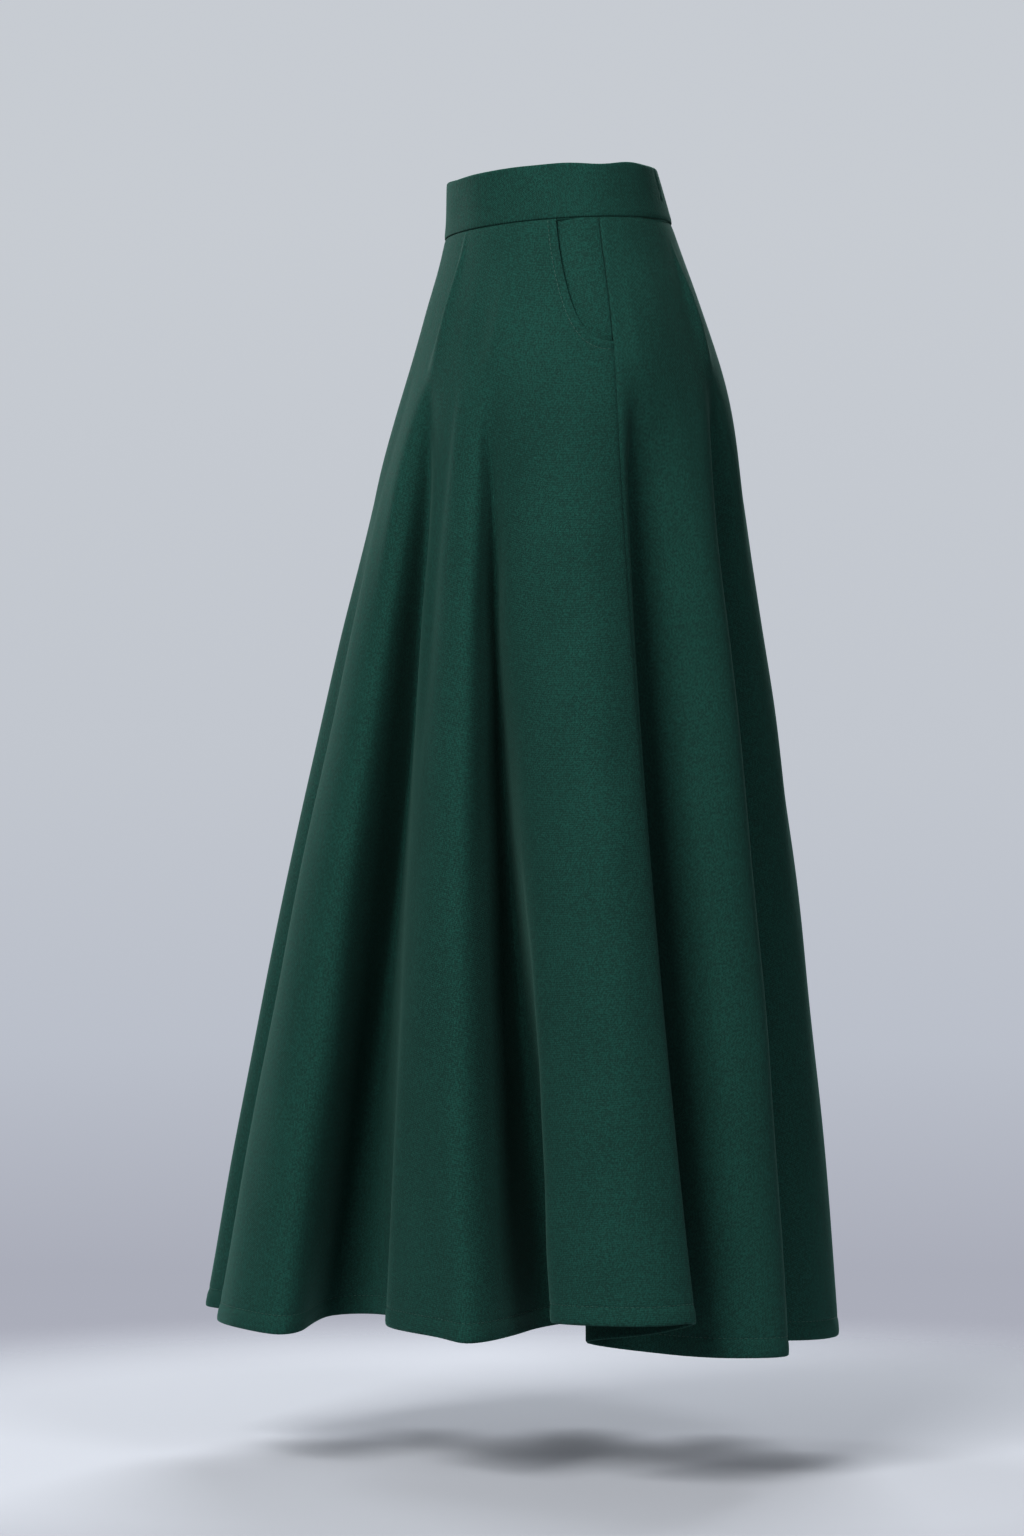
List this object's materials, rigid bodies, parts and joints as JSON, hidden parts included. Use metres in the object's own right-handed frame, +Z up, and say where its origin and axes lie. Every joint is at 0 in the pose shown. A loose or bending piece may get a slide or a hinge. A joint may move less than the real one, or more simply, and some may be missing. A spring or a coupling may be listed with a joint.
{
  "type": "a-line maxi skirt",
  "caption": "Long flared wool skirt with a waistband, side-seam hip pockets and a centre-back zip, held in its worn, hollow form.",
  "frame": {"origin": "centre of the waistband ring at half its height, where the wearer's waist holds the skirt", "axes": "+Z up, the wearer's front towards -Y, the wearer's left towards +X"},
  "size_m": [0.5382, 0.5216, 0.9677],
  "materials": {
    "wool_cloth": "brushed wool, soft nap, dull",
    "bag_cloth": "smooth thin twill",
    "zip_tape": "woven tape",
    "zip_metal": "satin, painted to match the cloth"
  },
  "bodies": {
    "skirt": {"waistband": "wool_cloth", "front_panel": "wool_cloth", "back_panel_left": "wool_cloth", "back_panel_right": "wool_cloth", "hip_piece_left": "wool_cloth", "hip_piece_right": "wool_cloth", "pocket_bag_left": "bag_cloth", "pocket_bag_right": "bag_cloth", "zip_tape_left": "zip_tape", "zip_tape_right": "zip_tape", "zip_chain": "zip_metal", "zip_slider": "zip_metal", "zip_stop": "zip_metal"},
    "zip_pull_tab": {"zip_pull": "zip_metal"}
  },
  "joints": [
    {"name": "zip_pull_hinge", "type": "hinge", "parent": "skirt", "child": "zip_pull_tab", "pos_m": [0, 0.08464, 0.01689], "axis": [1, 0, 0], "range_deg": [0, 160]}
  ]
}
